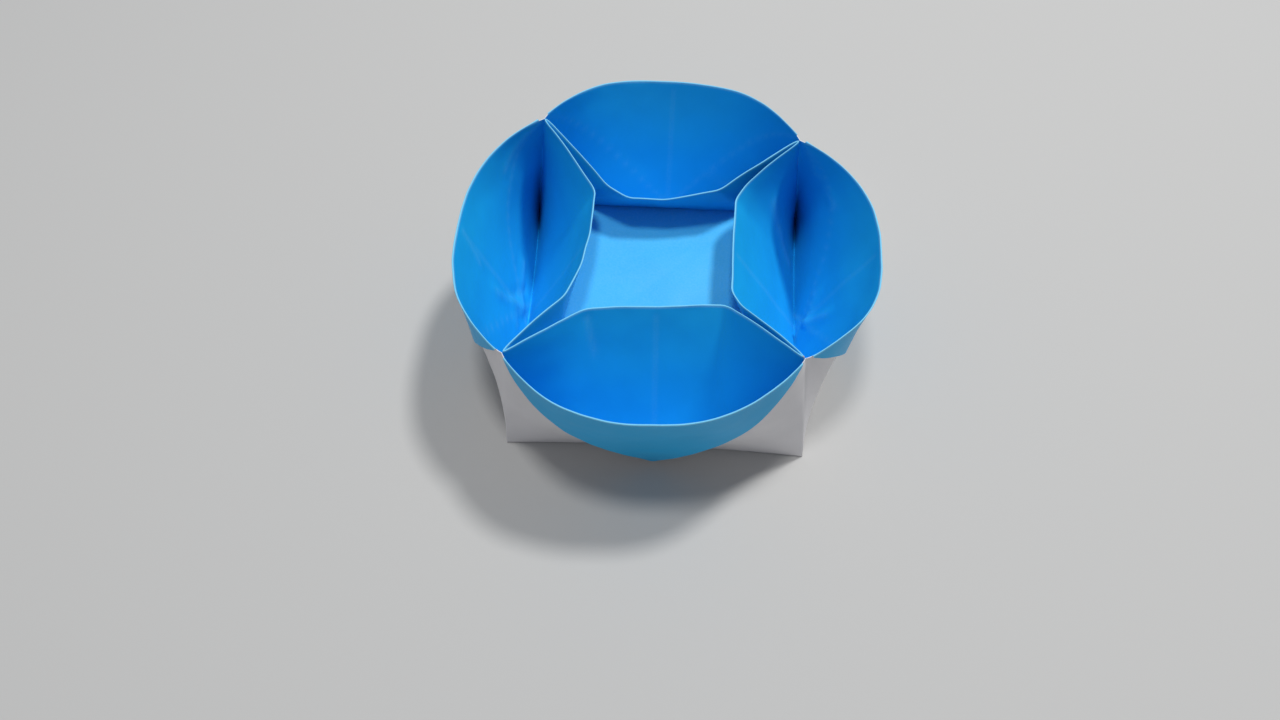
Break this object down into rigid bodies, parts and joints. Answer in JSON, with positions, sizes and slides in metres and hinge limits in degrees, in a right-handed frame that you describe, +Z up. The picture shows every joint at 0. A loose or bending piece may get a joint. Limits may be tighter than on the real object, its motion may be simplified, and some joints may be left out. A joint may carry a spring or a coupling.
{
  "type": "origami compartment tray",
  "caption": "Tray folded from one square of paper, with a shallow middle compartment that hangs between four boat-shaped pockets.",
  "frame": {"origin": "middle of the square base, on the table", "axes": "+Z up, +X along the front side to the right, the front side faces -Y"},
  "size_m": [0.0898, 0.0888, 0.0374],
  "materials": {
    "paper_sheet": "matt folding paper, sky blue on one face and white on the other"
  },
  "bodies": {
    "root": {"folded_sheet": "paper_sheet"}
  },
  "joints": []
}
